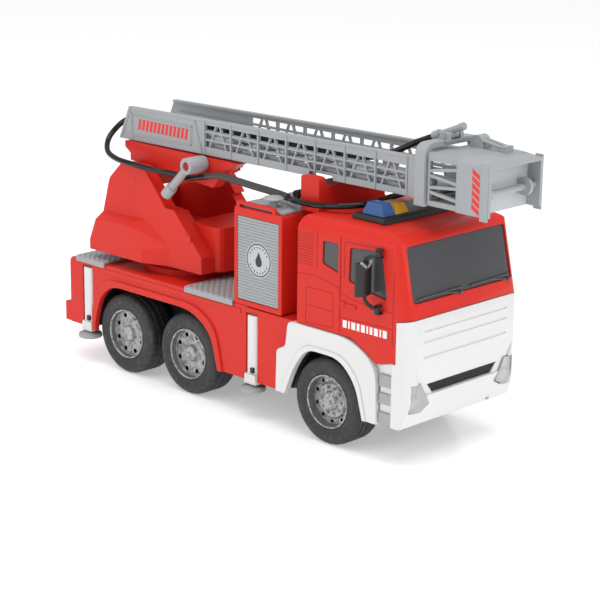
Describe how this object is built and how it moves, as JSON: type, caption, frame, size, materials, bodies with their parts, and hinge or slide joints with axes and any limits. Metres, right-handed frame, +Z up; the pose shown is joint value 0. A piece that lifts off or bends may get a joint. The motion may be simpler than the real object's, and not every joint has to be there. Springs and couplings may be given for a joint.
{
  "type": "toy fire engine",
  "caption": "Toy fire engine with a free-rolling chassis, friction drive, swivelling and lifting ladder that extends by a crank, water pump, hose and pull-out outriggers.",
  "frame": {"origin": "middle of the outline on the ground", "axes": "+X forward, +Y to the left of the driver, +Z up"},
  "size_m": [0.3568, 0.1286, 0.2024],
  "materials": {
    "red": "glossy moulded",
    "white": "glossy moulded",
    "grey": "satin moulded",
    "black": "satin moulded",
    "glazing": "smoked, glossy",
    "tyre": "matte with tread",
    "rim": "silver painted",
    "steel": "bright drawn",
    "blue": "translucent",
    "yellow": "translucent",
    "clear": "translucent",
    "hose": "glossy",
    "sleeve": "matte"
  },
  "bodies": {
    "vehicle": {"chassis_body": "red", "base_tray": "black", "rear_tread_plate": "grey", "middle_tread_plate": "grey", "locker_body": "red", "locker_shutters": "grey", "locker_top_plate": "grey", "pump_body": "black", "pump_spring": "steel", "cab_shell": "red", "cab_glazing": "glazing", "front_trim": "white", "front_grille": "black", "headlamps": "clear", "cab_steps": "grey", "light_bar_base": "black", "blue_beacons": "blue", "yellow_beacons": "yellow", "hose_front": "hose"},
    "rear_wheels": {"rear_axle": "steel", "rear_tyre_left": "tyre", "rear_rim_left": "rim", "rear_tyre_right": "tyre", "rear_rim_right": "rim", "drive_gear": "white"},
    "middle_wheels": {"middle_axle": "steel", "middle_tyre_left": "tyre", "middle_rim_left": "rim", "middle_tyre_right": "tyre", "middle_rim_right": "rim"},
    "front_wheels": {"front_axle": "steel", "front_tyre_left": "tyre", "front_rim_left": "rim", "front_tyre_right": "tyre", "front_rim_right": "rim"},
    "idler": {"idler_gear": "white"},
    "flywheel": {"flywheel": "steel"},
    "turntable": {"turret": "red", "lift_pin": "steel", "hose_sleeve": "sleeve"},
    "ladder": {"ladder_bracket": "red", "ladder_outer": "grey", "ladder_hoop": "grey", "hose_in_ladder": "hose", "hose_rear": "hose"},
    "ladder_slide": {"ladder_inner": "grey"},
    "crank": {"crank_shaft": "red", "crank_handle": "grey"},
    "nozzle": {"nozzle": "grey"},
    "pump_button": {"pump_button": "grey"},
    "mirror_left": {"mirror_left": "black"},
    "mirror_right": {"mirror_right": "black"},
    "rear_outrigger_left": {"rear_outrigger_left": "white"},
    "rear_jack_left": {"rear_jack_foot_left": "grey"},
    "rear_outrigger_right": {"rear_outrigger_right": "white"},
    "rear_jack_right": {"rear_jack_foot_right": "grey"},
    "middle_outrigger_left": {"middle_outrigger_left": "white"},
    "middle_jack_left": {"middle_jack_foot_left": "grey"},
    "middle_outrigger_right": {"middle_outrigger_right": "white"},
    "middle_jack_right": {"middle_jack_foot_right": "grey"}
  },
  "joints": [
    {"name": "rear_wheels_roll", "type": "hinge", "parent": "vehicle", "child": "rear_wheels", "pos_m": [-0.1145, 0, 0.0275], "axis": [0, 1, 0], "continuous": true},
    {"name": "middle_wheels_roll", "type": "hinge", "parent": "vehicle", "child": "middle_wheels", "pos_m": [-0.052, 0, 0.0275], "axis": [0, 1, 0], "continuous": true},
    {"name": "front_wheels_roll", "type": "hinge", "parent": "vehicle", "child": "front_wheels", "pos_m": [0.0785, 0, 0.0275], "axis": [0, 1, 0], "continuous": true},
    {"name": "idler_spin", "type": "hinge", "parent": "vehicle", "child": "idler", "pos_m": [-0.10532, 0, 0.03523], "axis": [0, 1, 0], "continuous": true},
    {"name": "flywheel_spin", "type": "hinge", "parent": "vehicle", "child": "flywheel", "pos_m": [-0.09386, 0, 0.03878], "axis": [0, 1, 0], "continuous": true},
    {"name": "turret_swivel", "type": "hinge", "parent": "vehicle", "child": "turntable", "pos_m": [-0.098, 0, 0.0725], "axis": [0, 0, 1], "range_deg": [-90, 90], "deforming": ["hose_front", "hose_sleeve"]},
    {"name": "ladder_lift", "type": "hinge", "parent": "turntable", "child": "ladder", "pos_m": [-0.116, 0, 0.134], "axis": [0, -1, 0], "range_deg": [0, 55], "deforming": ["hose_rear"]},
    {"name": "ladder_extend", "type": "slide", "parent": "ladder", "child": "ladder_slide", "axis": [1, 0, 0], "range_m": [0, 0.06]},
    {"name": "crank_turn", "type": "hinge", "parent": "ladder", "child": "crank", "pos_m": [-0.0595, 0, 0.1512], "axis": [0, 1, 0], "range_deg": [0, 385]},
    {"name": "nozzle_tilt", "type": "hinge", "parent": "ladder", "child": "nozzle", "pos_m": [0.1295, 0, 0.1939], "axis": [0, 1, 0], "range_deg": [0, 40], "deforming": ["hose_in_ladder"]},
    {"name": "pump_press", "type": "slide", "parent": "vehicle", "child": "pump_button", "axis": [0, 0, -1], "range_m": [0, 0.004], "stiffness_N_per_m": 150, "deforming": ["pump_spring"]},
    {"name": "mirror_left_fold", "type": "hinge", "parent": "vehicle", "child": "mirror_left", "pos_m": [0.1215, 0.0534, 0.112], "axis": [0, 0, 1], "range_deg": [-60, 0]},
    {"name": "mirror_right_fold", "type": "hinge", "parent": "vehicle", "child": "mirror_right", "pos_m": [0.1215, -0.0534, 0.112], "axis": [0, 0, 1], "range_deg": [0, 60]},
    {"name": "rear_outrigger_left_pull", "type": "slide", "parent": "vehicle", "child": "rear_outrigger_left", "axis": [0, 1, 0], "range_m": [0, 0.022]},
    {"name": "rear_jack_left_lower", "type": "slide", "parent": "rear_outrigger_left", "child": "rear_jack_left", "axis": [0, 0, -1], "range_m": [0, 0.0175]},
    {"name": "rear_outrigger_right_pull", "type": "slide", "parent": "vehicle", "child": "rear_outrigger_right", "axis": [0, -1, 0], "range_m": [0, 0.022]},
    {"name": "rear_jack_right_lower", "type": "slide", "parent": "rear_outrigger_right", "child": "rear_jack_right", "axis": [0, 0, -1], "range_m": [0, 0.0175]},
    {"name": "middle_outrigger_left_pull", "type": "slide", "parent": "vehicle", "child": "middle_outrigger_left", "axis": [0, 1, 0], "range_m": [0, 0.022]},
    {"name": "middle_jack_left_lower", "type": "slide", "parent": "middle_outrigger_left", "child": "middle_jack_left", "axis": [0, 0, -1], "range_m": [0, 0.0175]},
    {"name": "middle_outrigger_right_pull", "type": "slide", "parent": "vehicle", "child": "middle_outrigger_right", "axis": [0, -1, 0], "range_m": [0, 0.022]},
    {"name": "middle_jack_right_lower", "type": "slide", "parent": "middle_outrigger_right", "child": "middle_jack_right", "axis": [0, 0, -1], "range_m": [0, 0.0175]}
  ],
  "couplings": [
    {"joint": "idler_spin", "follows": "rear_wheels_roll", "ratio": -1.4},
    {"joint": "flywheel_spin", "follows": "rear_wheels_roll", "ratio": 1.96},
    {"joint": "crank_turn", "follows": "ladder_extend", "rad_per_m": 111.11}
  ]
}
